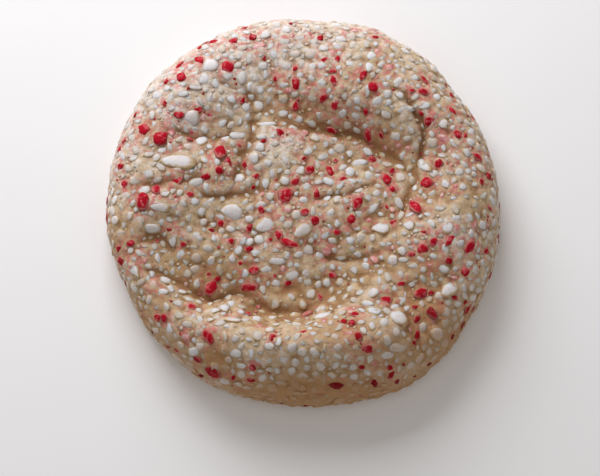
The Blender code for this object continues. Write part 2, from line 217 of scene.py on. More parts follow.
def doughPoints(reach, angle):  # reach is 0 at the top's middle, 1 on the widest edge and more under it
    form = doughForm
    flat = np.clip(reach / form["crestReach"], 0, 1)
    down = np.clip((reach - form["crestReach"]) / (1 - form["crestReach"]), 0, 1) * np.pi / 2
    under = np.clip((reach - 1) / form["footReach"], 0, 1) * np.pi / 2
    power = 2 / form["shoulderPower"]
    share = form["crestShare"] * flat + (1 - form["crestShare"]) * np.sin(down) ** power
    share = share - (1 - form["baseShare"]) * (1 - np.cos(under))
    above = (form["crestHeight"] - form["widestHeight"]) * np.maximum(np.cos(down), 0) ** power
    z = above + form["widestHeight"] * (1 - np.sin(under))
    radius = share * outlineRadius(angle)
    x, y = radius * np.cos(angle), radius * np.sin(angle)
    plain = np.stack([x, y, z], 1)
    strayX = noiseOver(plain, form["wanderSpacing"], 7.3) * form["wander"]
    strayY = noiseOver(plain, form["wanderSpacing"], 31.9) * form["wander"]
    inside = smoothRamp((1 - share) / 0.25)
    placeY = y + form["frontShift"]
    folds = foldDepth(x + strayX, placeY + strayY) * inside
    z = z + relief(x + strayX * 0.4, placeY + strayY * 0.4) * inside
    lumps = noiseOver(np.stack([x, y, z], 1), form["lumpSpacing"]) * form["lumpHeight"]
    lumps = (lumps - form["skin"]) * (1 - np.sin(under))
    lean = np.sin(down)
    x = x + lumps * lean * np.cos(angle)
    y = y + lumps * lean * np.sin(angle)
    return np.stack([x, y, z - folds + lumps * (1 - lean)], 1), folds


# Making and finishing pieces


def setCoordinates(mesh, points):
    mesh.vertices.foreach_set("co", np.ascontiguousarray(points, np.float32).ravel())
    mesh.update()


def coordinates(mesh):
    points = np.empty(len(mesh.vertices) * 3, np.float32)
    mesh.vertices.foreach_get("co", points)
    return points.reshape(-1, 3).astype(float)


def vertexNormals(mesh):
    normals = np.empty(len(mesh.vertices) * 3, np.float32)
    mesh.vertex_normals.foreach_get("vector", normals)
    return normals.reshape(-1, 3).astype(float)


def addAttribute(mesh, name, values):
    mesh.attributes.new(name, "FLOAT", "POINT").data.foreach_set("value", np.ascontiguousarray(values, np.float32))


def finishPiece(name, mesh, material, slot):
    mesh.materials.append(material)
    mesh.transform(Matrix.Scale(mm, 4))
    piece = bpy.data.objects.new(name, mesh)
    bpy.context.scene.collection.objects.link(piece)
    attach(piece, "root")
    return piece


# Materials


def startMaterial(name, settings):
    material = bpy.data.materials.new(name)
    material.use_nodes = True
    tree = material.node_tree
    shader = tree.nodes["Principled BSDF"]
    for socket, value in settings.items():
        shader.inputs[socket].default_value = value
    return material, tree, shader


def addNode(tree, kind, inputs=None, **settings):
    node = tree.nodes.new(kind)
    for key, value in settings.items():
        setattr(node, key, value)
    for socket, value in (inputs or {}).items():
        if isinstance(value, bpy.types.NodeSocket):
            tree.links.new(value, node.inputs[socket])
        else:
            node.inputs[socket].default_value = value
    return node


def objectSpace(tree):
    return addNode(tree, "ShaderNodeTexCoord").outputs["Object"]


def noiseValue(tree, place, spacing, detail=2.0, roughness=0.55):  # spacing in millimetres
    inputs = {"Vector": place, "Scale": 1 / (spacing * mm), "Detail": detail, "Roughness": roughness}
    return addNode(tree, "ShaderNodeTexNoise", inputs).outputs["Fac"]


def stretchValue(tree, value, low, high, toLow=0.0, toHigh=1.0):
    inputs = {"Value": value, "From Min": low, "From Max": high, "To Min": toLow, "To Max": toHigh}
    return addNode(tree, "ShaderNodeMapRange", inputs, interpolation_type="SMOOTHSTEP").outputs["Result"]


def multiplyValues(tree, first, second):
    return addNode(tree, "ShaderNodeMath", {0: first, 1: second}, operation="MULTIPLY").outputs[0]


def mixColours(tree, factor, first, second):
    node = tree.nodes.new("ShaderNodeMix")
    node.data_type = "RGBA"
    for socket, value in ((0, factor), (6, first), (7, second)):
        if isinstance(value, bpy.types.NodeSocket):
            tree.links.new(value, node.inputs[socket])
        else:
            node.inputs[socket].default_value = value
    return node.outputs[2]


def attributeValue(tree, name):
    return addNode(tree, "ShaderNodeAttribute", attribute_name=name).outputs["Fac"]


doughFinish = {
    "pale": (0.66, 0.50, 0.30, 1),
    "tan": (0.52, 0.355, 0.17, 1),
    # the pale colour next is fine sugar; where it is laid it also paints light
    "dustAndLight": (0.77, 0.69, 0.60, 1),
    "blush": (0.62, 0.18, 0.16, 1),
    # the next two colours paint shade in the crevices and folds, over dough that is browner there too
    "creviceShade": (0.26, 0.115, 0.035, 1),
    "fold": (0.22, 0.10, 0.042, 1),
    # the next colour browns the foot, and also paints shade on the front, in the hollows and in the browned patches
    "baked": (0.45, 0.24, 0.10, 1),
    "shader": {"Roughness": 0.7, "Subsurface Weight": 0.25, "Subsurface Radius": (1.0, 0.6, 0.35),
               "Subsurface Scale": 0.0012, "Specular IOR Level": 0.3},
}


def makeDoughMaterial():
    finish = doughFinish
    material, tree, shader = startMaterial("baked dough", finish["shader"])
    place = objectSpace(tree)
    mottle = stretchValue(tree, noiseValue(tree, place, 3.0, 6.0, 0.7), 0.36, 0.64)
    colour = mixColours(tree, mottle, finish["tan"], finish["pale"])
    specks = stretchValue(tree, noiseValue(tree, place, 0.9, 4.0, 0.65), 0.42, 0.62, 0.3)
    # pale sugar, partly painted light on the back, the upper left rim and raised points
    colour = mixColours(tree, multiplyValues(tree, attributeValue(tree, "dustAndLight"), specks), colour, finish["dustAndLight"])
    stain = stretchValue(tree, noiseValue(tree, place, 1.1), 0.40, 0.62, 0.1)
    colour = mixColours(tree, multiplyValues(tree, attributeValue(tree, "blush"), stain), colour, finish["blush"])
    # mix in the darker colours: browner dough, and painted shade in the creases, crevices, hollows and on the front
    for name in ("creviceShade", "fold", "baked"):
        colour = mixColours(tree, attributeValue(tree, name), colour, finish[name])
    tree.links.new(colour, shader.inputs["Base Color"])
    bump = addNode(tree, "ShaderNodeBump", {"Height": noiseValue(tree, place, 0.55, 4.0, 0.7), "Distance": 0.3 * mm,
                                            "Strength": 0.9})
    tree.links.new(bump.outputs["Normal"], shader.inputs["Normal"])
    return material


# The coat is the dough that clings to a chip's lower half. The baked colour browns the chips near the foot and paints
# shade on their lower sides and on the front
candyFinish = {
    "white": {
        "coat": (0.60, 0.45, 0.27, 1), "baked": (0.45, 0.24, 0.10, 1),
        "low": (0.58, 0.48, 0.38, 1), "high": (0.75, 0.735, 0.745, 1), "patch": (0.70, 0.50, 0.49, 1),
        "patchFrom": 0.50, "patchTo": 0.70, "patchShare": 0.55,
        "shader": {"Roughness": 0.7, "Subsurface Weight": 0.75, "Subsurface Radius": (1.0, 0.85, 0.75),
                   "Subsurface Scale": 0.0014, "Specular IOR Level": 0.2},
    },
    "sugar": {
        "coat": (0.60, 0.45, 0.27, 1), "baked": (0.45, 0.24, 0.10, 1),
        "low": (0.52, 0.39, 0.27, 1), "high": (0.70, 0.62, 0.57, 1), "patch": (0.66, 0.36, 0.32, 1),
        "patchFrom": 0.56, "patchTo": 0.72, "patchShare": 0.55,
        "shader": {"Roughness": 0.6, "Subsurface Weight": 0.4, "Subsurface Radius": (1.0, 0.8, 0.6),
                   "Subsurface Scale": 0.0006, "Specular IOR Level": 0.3},
    },
    "red": {
        "coat": (0.62, 0.25, 0.21, 1), "baked": (0.16, 0.006, 0.006, 1),
        "low": (0.30, 0.003, 0.010, 1), "high": (0.47, 0.005, 0.020, 1), "patch": (0.75, 0.20, 0.21, 1),
        "patchFrom": 0.50, "patchTo": 0.68, "patchShare": 0.7,
        "shader": {"Roughness": 0.6, "Subsurface Weight": 0.3, "Subsurface Radius": (1.0, 0.2, 0.2),
                   "Subsurface Scale": 0.0006, "Specular IOR Level": 0.06},
    },
    "pink": {
        "coat": (0.56, 0.34, 0.24, 1), "baked": (0.36, 0.12, 0.06, 1),
        "low": (0.58, 0.13, 0.13, 1), "high": (0.70, 0.33, 0.31, 1), "patch": (0.78, 0.62, 0.60, 1),
        "patchFrom": 0.45, "patchTo": 0.62, "patchShare": 0.7,
        "shader": {"Roughness": 0.5, "Subsurface Weight": 0.4, "Subsurface Radius": (1.0, 0.6, 0.55),
                   "Subsurface Scale": 0.0008, "Specular IOR Level": 0.35},
    },
}


def makeCandyMaterial(kind):
    finish = candyFinish[kind]
    material, tree, shader = startMaterial(f"{kind} peppermint candy", finish["shader"])
    place = objectSpace(tree)
    colour = mixColours(tree, attributeValue(tree, "tint"), finish["low"], finish["high"])
    patches = noiseValue(tree, place, 0.9, 3.0, 0.65)
    patches = stretchValue(tree, patches, finish["patchFrom"], finish["patchTo"], 0.0, finish["patchShare"])
    colour = mixColours(tree, patches, colour, finish["patch"])
    patchy = addNode(tree, "ShaderNodeMath", {0: attributeValue(tree, "coat"), 1: noiseValue(tree, place, 0.7, 3.0)})
    coat = stretchValue(tree, patchy.outputs[0], 0.74, 1.22)
    colour = mixColours(tree, coat, colour, finish["coat"])
    # browned colour and painted shade from the baked attribute
    colour = mixColours(tree, attributeValue(tree, "baked"), colour, finish["baked"])
    tree.links.new(colour, shader.inputs["Base Color"])
    bump = addNode(tree, "ShaderNodeBump", {"Height": noiseValue(tree, place, 0.4, 3.0), "Distance": 0.14 * mm,
                                            "Strength": 0.6})
    tree.links.new(bump.outputs["Normal"], shader.inputs["Normal"])
    return material


# The dough

doughMesh = {
    "rings": 150,
    "footRings": 14,
    "crumb": ((2.6, 0.18), (1.1, 0.08), (0.55, 0.03)),  # spacing and height of each size of crumb
    "clumpSpacing": 2.1,
    "clumpHeight": 0.13,
    "clumpGap": 0.6,  # of the spacing
    "swell": 0.14,  # of a chip's width
    "swellSpread": 0.6,
}


def latticePlaces(across, along):  # reach and angle of a point of a hexagon bowed out to a circle
    angle = np.arctan2(along, across)
    middle = (np.floor(angle / (np.pi / 3)) + 0.5) * np.pi / 3
    apothem = across * np.cos(middle) + along * np.sin(middle)
    beside = along * np.cos(middle) - across * np.sin(middle)
    share = beside / np.maximum(2 * apothem * math.tan(math.pi / 6), 1e-9)
    return apothem / math.cos(math.pi / 6), middle + share * np.pi / 3


def makeDough():
    bm = bmesh.new()
    bmesh.ops.create_circle(bm, cap_ends=True, cap_tris=True, segments=6, radius=1)
    bmesh.ops.subdivide_edges(bm, edges=bm.edges[:], cuts=doughMesh["rings"] - 1, use_grid_fill=True)
    edge = [e for e in bm.edges if e.is_boundary]
    for ring in range(1, doughMesh["footRings"] + 1):
        made = bmesh.ops.extrude_edge_only(bm, edges=edge)["geom"]
        edge = [g for g in made if isinstance(g, bmesh.types.BMEdge)]
        for vert in (g for g in made if isinstance(g, bmesh.types.BMVert)):
            vert.co.z = -ring
    base = bmesh.ops.contextual_create(bm, geom=edge)["faces"]
    base = bmesh.ops.inset_individual(bm, faces=base, thickness=0.05)["faces"]
    bmesh.ops.triangulate(bm, faces=[f for f in bm.faces if len(f.verts) > 3])
    bmesh.ops.recalc_face_normals(bm, faces=bm.faces[:])
    mesh = bpy.data.meshes.new("cookieDough")
    bm.to_mesh(mesh)
    bm.free()
    flat = coordinates(mesh)
    reach, angle = latticePlaces(flat[:, 0], flat[:, 1])
    ring = -flat[:, 2]
    onBase = (ring >= doughMesh["footRings"]) & (reach < 0.999)
    reach = np.where(ring > 0, 1 + doughForm["footReach"] * ring / doughMesh["footRings"], np.minimum(reach, 1))
    points, folds = doughPoints(reach, angle)
    shrink = np.where(onBase, 0.8, 1.0)
    points[:, :2] *= shrink[:, None]
    points[:, 2] = np.where(ring >= doughMesh["footRings"], 0, points[:, 2])
    setCoordinates(mesh, points)
    mesh.shade_smooth()
    return mesh, folds


def nearChips(points, chips, spread, power):  # the strongest of the chips' effects at each point
    order = np.argsort(points[:, 0])
    across = points[order, 0]
    strongest = np.zeros(len(points))
    for point, _, length, width, _ in chips:
        radius = spread + (length + width) / 4
        first, last = np.searchsorted(across, (point[0] - 2 * radius, point[0] + 2 * radius))
        near = order[first:last]
        distance = np.sqrt(((points[near] - point) ** 2).sum(1)) / radius
        strongest[near] = np.maximum(strongest[near], np.exp(-(distance**power)) * min(width, 2.2))
    return strongest


def clumps(points):  # 1 on the tops of the sugar's clumps and 0 in the gaps between them
    spacing = doughMesh["clumpSpacing"]
    stray = np.stack([noiseOver(points, 1.6, shift) for shift in (3.0, 11.0, 23.0)], 1) * 0.5
    heights = []
    for point in (points + stray) / spacing:
        nearest, second = noise.voronoi(Vector(point))[0][:2]
        heights.append((second - nearest) / doughMesh["clumpGap"])
    return smoothRamp(np.array(heights))


def swellDough(mesh, chips):  # the dough rises up the sides of the chips pressed into it
    points, normals = coordinates(mesh), vertexNormals(mesh)
    rise = sum(noiseOver(points, spacing, spacing * 17) * height for spacing, height in doughMesh["crumb"])
    rise += (clumps(points) - 0.6) * doughMesh["clumpHeight"]
    rise += nearChips(points, chips, doughMesh["swellSpread"], 2) * doughMesh["swell"]
    rise *= smoothRamp(points[:, 2] / 1.5)
    setCoordinates(mesh, np.clip(points + normals * rise[:, None], boxLow, boxHigh))


def hollowness(mesh, passes):  # how deep each point lies among its neighbours, in millimetres
    points, normals = coordinates(mesh), vertexNormals(mesh)
    ends = np.empty(len(mesh.edges) * 2, np.int32)
    mesh.edges.foreach_get("vertices", ends)
    first, second = ends[::2], ends[1::2]
    count = np.bincount(ends, minlength=len(points))
    mean = points
    for _ in range(passes):
        mean = np.stack([
            (np.bincount(first, axis[second], len(points)) + np.bincount(second, axis[first], len(points))) / count
            for axis in mean.T
        ], 1)
    return ((mean - points) * normals).sum(1)


# Crushed candy

# Chips that stand out: x, y, length, width, turn
redChips = (
    (-26.9, 13.2, 3.2, 2.5, 38), (-15.8, 10.5, 2.5, 2.3, 80), (-3.4, 2.0, 2.8, 2.4, 40), (-14.3, 27.1, 2.1, 1.9, 90),
    (-1.4, 23.8, 2.2, 1.5, 80), (13.3, 22.6, 2.0, 1.7, 0), (-30.0, 0.4, 3.1, 1.9, 75), (-23.9, 4.6, 2.7, 1.8, 55),
    (15.8, 5.7, 2.2, 1.8, -80), (16.6, 3.6, 1.5, 1.2, -30), (10.1, 0.7, 2.8, 1.6, 68), (9.0, -2.5, 1.8, 1.7, 90),
    (21.0, -0.2, 3.1, 1.9, -58), (23.3, 4.5, 2.2, 2.0, 20), (-2.4, -7.0, 3.8, 1.5, -20), (-9.4, -12.0, 2.0, 1.5, 10),
    (-9.9, -15.0, 3.1, 1.5, 2), (-17.2, -15.3, 2.6, 2.2, 60), (0.7, -20.3, 2.6, 1.7, 20), (22.2, -8.7, 2.3, 1.8, 35),
    (24.2, -7.6, 1.7, 1.4, 60), (31.1, -8.0, 2.8, 1.5, 60), (21.8, -16.9, 2.3, 1.9, 30), (23.9, -20.4, 2.6, 1.8, -60),
    (15.4, -18.2, 1.9, 1.6, -20), (-17.5, -25.4, 2.7, 1.9, -60), (-16.6, -31.2, 2.9, 2.0, 0), (6.1, -34.0, 2.3, 1.6, -5),
    (11.6, -28.2, 2.1, 1.5, -20), (9.5, -21.3, 1.6, 1.5, 0), (32.8, 9.8, 2.0, 1.4, -15), (29.1, 14.0, 1.8, 1.5, -60),
    (5.3, 15.8, 2.2, 1.4, -55), (12.4, 14.4, 2.9, 1.5, 80), (5.1, 7.0, 2.2, 1.4, -60), (-1.4, 19.9, 2.0, 1.3, 75),
    (6.0, 19.5, 1.9, 1.5, 70), (-30.2, 15.3, 2.2, 1.7, -50), (27.3, -7.3, 2.3, 1.3, 50), (30.6, -19.0, 2.0, 1.3, 45),
    (-23.8, 28.3, 2.2, 1.1, 45), (-19.8, 29.1, 2.2, 1.3, -40), (-23.1, 25.5, 1.9, 1.6, -60), (11.3, 25.0, 2.1, 1.1, 65),
    (23.0, 25.0, 2.1, 1.1, -58), (28.3, 18.8, 2.0, 1.2, -50), (-4.6, -5.3, 2.1, 1.6, -40), (29.8, -21.8, 1.8, 1.2, 30),
)
# Smaller red pieces: x, y, length
redBits = (
    (-21.5, 13.2, 1.6), (-14.2, 8.7, 1.5), (-16.0, 6.8, 1.4), (-18.4, 5.5, 1.7), (-27.6, 2.8, 1.6), (-33.6, 4.3, 1.4),
    (-37.2, 3.2, 1.4), (-34.8, 12.0, 1.2), (-23.5, 17.8, 1.4), (-19.8, 18.7, 1.2), (-26.3, 20.1, 0.9), (-13.3, 32.9, 1.3),
    (-9.7, 33.6, 1.4), (-1.6, 26.8, 1.0), (-4.9, 25.2, 1.2), (-11.6, 20.9, 1.2), (-17.6, 17.5, 1.1), (-4.3, 14.6, 1.4),
    (-7.6, 12.7, 0.9), (-1.5, 4.7, 1.3), (1.2, 7.2, 1.5), (-21.3, 2.0, 1.0), (-7.8, -0.6, 1.4), (0.2, -1.3, 1.2),
    (3.2, 33.2, 1.1), (13.8, 34.0, 1.2), (3.8, 28.2, 1.2), (6.5, 28.4, 1.1), (5.6, 25.8, 1.1), (5.7, 23.9, 1.4),
    (20.6, 22.3, 1.3), (22.7, 22.0, 1.4), (3.8, 20.9, 1.5), (11.8, 18.2, 1.2), (14.8, 14.2, 1.1), (13.0, 12.7, 1.1),
    (13.0, 9.5, 1.3), (25.5, 8.1, 1.5), (30.6, 13.8, 1.0), (23.8, 16.3, 1.6), (33.5, 4.8, 1.2), (37.3, 2.0, 1.5),
    (28.2, 22.6, 1.0), (2.5, 2.3, 1.5), (22.5, 10.8, 1.1), (22.4, 17.8, 1.0), (-34.5, -7.6, 1.5), (-34.0, -9.9, 1.4),
    (-25.1, -4.6, 1.0), (-15.5, -3.2, 1.1), (-13.9, -2.6, 0.8), (-10.2, -4.1, 1.5), (-10.2, -8.1, 1.3), (-6.3, -6.3, 0.9),
    (-17.7, -13.0, 1.3), (-20.8, -19.3, 1.5), (-10.2, -20.4, 1.3), (-5.6, -26.4, 1.3), (-19.5, -29.0, 1.3),
    (-9.4, -31.1, 1.3), (-12.9, -32.5, 1.1), (-9.7, -33.0, 1.3), (-19.1, -31.0, 1.0), (-2.9, -14.3, 1.1), (0.2, -25.2, 1.2),
    (-19.4, -16.2, 0.9), (-8.4, -18.7, 1.0), (2.2, -2.9, 1.4), (6.4, -4.9, 1.2), (36.9, -4.6, 1.4), (20.3, -9.7, 1.1),
    (27.0, -10.9, 1.2), (22.5, -5.7, 1.0), (5.5, -12.8, 1.3), (3.2, -17.0, 1.1), (18.2, -15.1, 1.2), (20.7, -19.6, 1.1),
    (21.0, -21.9, 1.2), (21.0, -24.9, 1.4), (7.4, -22.9, 1.0), (8.9, -23.3, 1.1), (10.1, -26.1, 1.2), (10.8, -31.0, 1.1),
    (17.3, -32.6, 1.3), (13.1, -33.4, 1.4), (28.2, -17.6, 1.1),
)
whiteChips = (
    (-23.6, 8.4, 6.0, 2.9, -7), (-0.1, -4.6, 3.6, 2.5, 28), (-13.5, -0.8, 4.2, 2.5, -20), (-21.3, 17.2, 2.7, 2.5, 0),
    (17.7, -22.2, 3.1, 2.7, 110), (18.4, -17.8, 3.2, 2.2, 75), (12.8, -16.9, 2.4, 2.2, 0), (27.1, -16.1, 3.5, 2.5, 35),
    (14.5, -3.9, 3.2, 2.6, -10), (12.9, -0.2, 3.7, 1.5, 45), (22.9, 8.2, 4.3, 2.0, -45), (19.0, 18.4, 3.6, 1.7, 5),
    (-26.8, -0.6, 3.4, 1.8, -10), (-28.5, -4.2, 3.2, 1.8, 3), (-8.6, 20.0, 2.6, 2.2, 60), (-17.8, 27.6, 3.0, 2.2, 20),
    (-0.4, -32.6, 2.3, 1.7, 0), (-13.0, -22.4, 3.0, 1.4, 15), (-17.0, -20.2, 3.2, 1.7, 20), (-6.0, -21.4, 2.3, 1.8, 50),
    (-23.0, 22.0, 2.4, 1.6, -20), (13.0, -20.6, 2.6, 1.7, -15), (3.5, -21.4, 3.2, 1.7, 20), (15.0, -29.0, 3.0, 1.3, 0),
    (-31.5, -12.0, 3.4, 1.9, -50), (12.5, 26.8, 2.3, 1.9, 60), (-24.5, -6.4, 2.4, 1.9, 80), (-12.3, 5.6, 2.6, 1.6, 20),
    (-25.7, -14.0, 2.2, 1.6, 0), (-26.6, -16.5, 2.9, 1.4, 5), (-21.4, -17.6, 2.2, 1.3, -20), (-14.7, -19.5, 2.2, 1.8, 90),
    (-13.4, -18.5, 2.0, 1.5, 70), (-12.0, -20.4, 1.8, 1.7, 0), (-8.8, -21.9, 2.6, 1.9, 60), (-1.7, -20.4, 3.2, 2.4, 60),
    (-5.0, -10.3, 3.2, 1.3, 0), (-11.1, -12.5, 1.9, 1.6, 30), (-7.1, -11.8, 2.2, 1.5, 0), (0.8, -12.3, 2.2, 1.7, 20),
    (3.0, -9.1, 2.6, 2.0, 60), (-2.2, -12.7, 2.5, 2.1, 0), (11.9, -19.1, 2.5, 1.3, -10), (12.6, -24.0, 1.8, 1.4, 80),
    (8.1, -26.8, 2.1, 1.8, 20), (17.6, -27.4, 4.0, 1.6, 0), (17.1, -24.6, 2.5, 1.6, 80), (24.7, -24.2, 2.5, 2.4, 0),
    (1.5, -25.5, 1.8, 1.2, 0), (-4.8, -27.0, 1.8, 1.4, -40), (-6.4, -27.9, 2.1, 1.4, 0), (-2.1, -28.2, 2.1, 1.9, 50),
    (-6.7, -30.2, 1.8, 1.6, 0), (-9.8, -28.9, 2.0, 1.7, 70), (-12.7, -28.7, 2.8, 1.4, 0), (-11.5, -30.8, 2.0, 1.4, 10),
    (-7.5, -32.8, 2.0, 1.6, 70), (-16.0, -30.5, 2.0, 1.8, 0), (-4.2, -33.6, 2.5, 1.2, 0), (5.2, -32.5, 2.0, 1.4, 10),
    (9.3, -32.5, 2.0, 1.7, 0), (6.1, -29.6, 1.8, 1.6, 0), (-20.3, -27.6, 2.4, 1.7, 30), (-23.4, -28.0, 3.0, 2.0, 80),
    (-24.7, -23.3, 2.2, 1.7, 80), (3.2, -31.0, 2.1, 1.9, 0), (1.9, -34.7, 1.6, 1.3, 40), (26.1, -12.3, 2.5, 1.6, 5),
    (18.7, -10.6, 2.0, 1.1, 0), (7.0, -9.4, 2.0, 1.5, 0), (10.2, -8.9, 1.6, 1.5, 0), (15.3, -7.4, 2.5, 1.1, 0),
    (-13.3, -9.9, 1.9, 1.5, 80), (-8.9, -8.6, 2.0, 1.7, 0), (-17.2, -10.6, 2.1, 1.6, 80), (-22.9, -9.1, 2.1, 1.5, 70),
    (-19.8, -6.0, 2.6, 1.7, -10), (-15.6, -1.9, 2.3, 1.4, -10), (-13.6, -4.2, 1.9, 1.6, 0), (-8.2, 0.5, 2.2, 1.4, 10),
    (-6.2, -0.6, 1.7, 1.2, 0), (-7.0, -3.4, 4.6, 2.8, 15), (-11.6, -6.4, 1.8, 1.7, 0), (-10.1, -6.7, 1.8, 1.6, 40),
    (-9.1, -4.6, 2.0, 1.2, 80), (-7.1, 4.7, 2.0, 1.7, 70), (-9.4, 9.4, 2.0, 1.9, 0), (-6.7, 8.4, 1.8, 1.7, 0),
    (-8.2, 11.6, 1.8, 1.5, 0), (-8.0, 13.7, 1.9, 1.3, -10), (-6.9, 16.3, 3.2, 1.6, 0), (-3.5, 5.0, 1.7, 1.6, 0),
    (0.9, 11.0, 1.8, 1.6, 0), (3.8, 10.1, 2.5, 1.5, 10), (4.9, 4.9, 2.5, 1.4, -15), (8.8, 10.9, 1.7, 1.4, 80),
    (12.2, 11.3, 2.6, 1.4, -20), (10.6, 8.9, 3.2, 1.7, 10), (8.8, 6.8, 2.0, 1.6, 60), (12.3, 6.1, 2.0, 1.6, 50),
    (13.6, 2.7, 1.8, 1.5, 0), (12.3, 1.8, 1.8, 1.5, 0), (17.9, 0.9, 2.6, 1.4, -60), (19.8, -1.8, 1.8, 1.2, 0),
    (19.7, -4.0, 2.1, 1.5, -30), (18.2, 8.3, 2.0, 1.4, -20), (19.0, 10.4, 2.0, 1.7, 70), (17.5, 13.6, 2.0, 1.7, 80),
    (18.2, 21.3, 1.8, 1.6, 0), (20.8, 25.2, 2.0, 1.7, 0), (9.0, 27.3, 2.3, 1.4, 0), (3.6, 27.1, 1.8, 1.6, 0),
    (1.4, 26.7, 2.0, 1.7, 30), (3.5, 23.7, 2.0, 1.6, 0), (10.3, 20.2, 1.5, 1.4, 0), (12.0, 21.7, 2.3, 1.3, 80),
    (13.9, 19.8, 2.3, 1.5, 30), (-4.0, 18.7, 2.3, 1.8, 0), (-1.0, 17.5, 1.7, 1.6, 0), (1.4, 16.9, 2.3, 1.2, -30),
    (-10.9, 19.5, 1.7, 1.4, 80), (-13.6, 21.0, 2.0, 1.6, -10), (-15.3, 20.8, 1.4, 1.2, 80), (-10.0, 21.7, 1.4, 1.3, 0),
    (-14.5, 23.5, 2.6, 1.2, 70), (-14.3, 25.5, 1.8, 1.7, 0), (-11.6, 25.2, 2.6, 1.7, 80), (-10.0, 23.5, 1.8, 1.5, 30),
    (-8.2, 22.9, 1.4, 1.3, 0), (-7.2, 25.9, 1.7, 1.3, 80), (-6.1, 22.9, 1.7, 1.0, 30), (-3.8, 23.8, 2.0, 1.2, 0),
    (-18.7, 24.9, 2.3, 2.2, 0), (-16.1, 18.7, 2.2, 1.7, 80), (-15.6, 16.2, 2.2, 1.4, 40), (-12.2, 14.2, 3.2, 1.6, 10),
    (-17.4, 13.7, 1.7, 1.6, 0), (-19.4, 12.8, 2.9, 2.0, 50), (-19.4, 10.4, 1.4, 1.2, 0), (-18.5, 8.8, 2.0, 1.4, 0),
    (-10.4, 11.8, 2.0, 1.4, 60), (-12.2, 9.2, 1.5, 1.4, 0), (-20.3, 4.3, 2.9, 1.4, 10), (-16.3, 3.2, 1.5, 1.4, 0),
    (-17.7, 0.5, 2.6, 1.5, 40), (-20.4, 0.6, 1.8, 1.6, 0), (0.6, 3.5, 1.8, 1.4, 50), (0.0, 1.1, 1.8, 1.3, -20),
    (4.2, 1.5, 2.0, 1.4, 20), (5.1, -1.6, 2.0, 1.6, 70), (6.5, -3.1, 2.0, 1.5, 50), (8.7, -6.4, 1.8, 1.6, 0),
    (4.1, -5.5, 2.0, 1.5, 50),
)
pinkChips = (
    (0.0, 14.8, 1.7, 1.5, 40), (-3.0, -0.6, 1.6, 1.3, 0), (1.1, 33.8, 1.4, 0.8, 90), (10.0, 35.4, 1.1, 0.9, 0),
    (16.5, 26.8, 1.5, 1.3, 60), (-27.9, -15.3, 1.8, 1.6, 80), (-21.6, -25.0, 1.5, 1.3, 0), (13.3, -10.0, 1.7, 1.1, -50),
    (8.6, -25.7, 1.7, 1.3, -30), (26.5, 13.0, 2.4, 1.2, -30), (-8.4, 31.4, 2.4, 1.2, 15), (4.0, -8.2, 2.0, 1.3, -35),
)
# Where the candy's colour has run into the dough: x, y, radius along, radius across, turn
pinkStains = (
    (2.5, 21.5, 6.5, 3.2, 0), (-27.0, 13.0, 3.0, 3.0, 0), (-28.5, 2.0, 4.5, 2.6, 30),
    (4.5, 15.5, 6.5, 2.6, -10), (-0.5, -6.8, 4.5, 2.4, -20), (21.5, -20.5, 2.4, 4.0, 10),
    (-13.5, 6.0, 4.0, 3.0, 0), (-22.0, 26.5, 4.0, 2.0, 40), (-8.5, 32.5, 5.0, 1.8, 12), (29.0, 10.5, 2.6, 5.0, 20),
    (-32.0, 14.0, 2.0, 4.5, -20), (5.5, 26.5, 2.6, 3.5, 0), (9.0, -28.5, 3.5, 2.2, 0), (24.5, -8.0, 4.0, 2.2, 20),
    (-31.5, -10.5, 3.0, 3.0, 0), (-10.0, -13.0, 2.4, 4.0, 0), (1.5, 4.0, 4.0, 2.4, 40), (14.0, 11.5, 2.4, 3.5, 20),
)
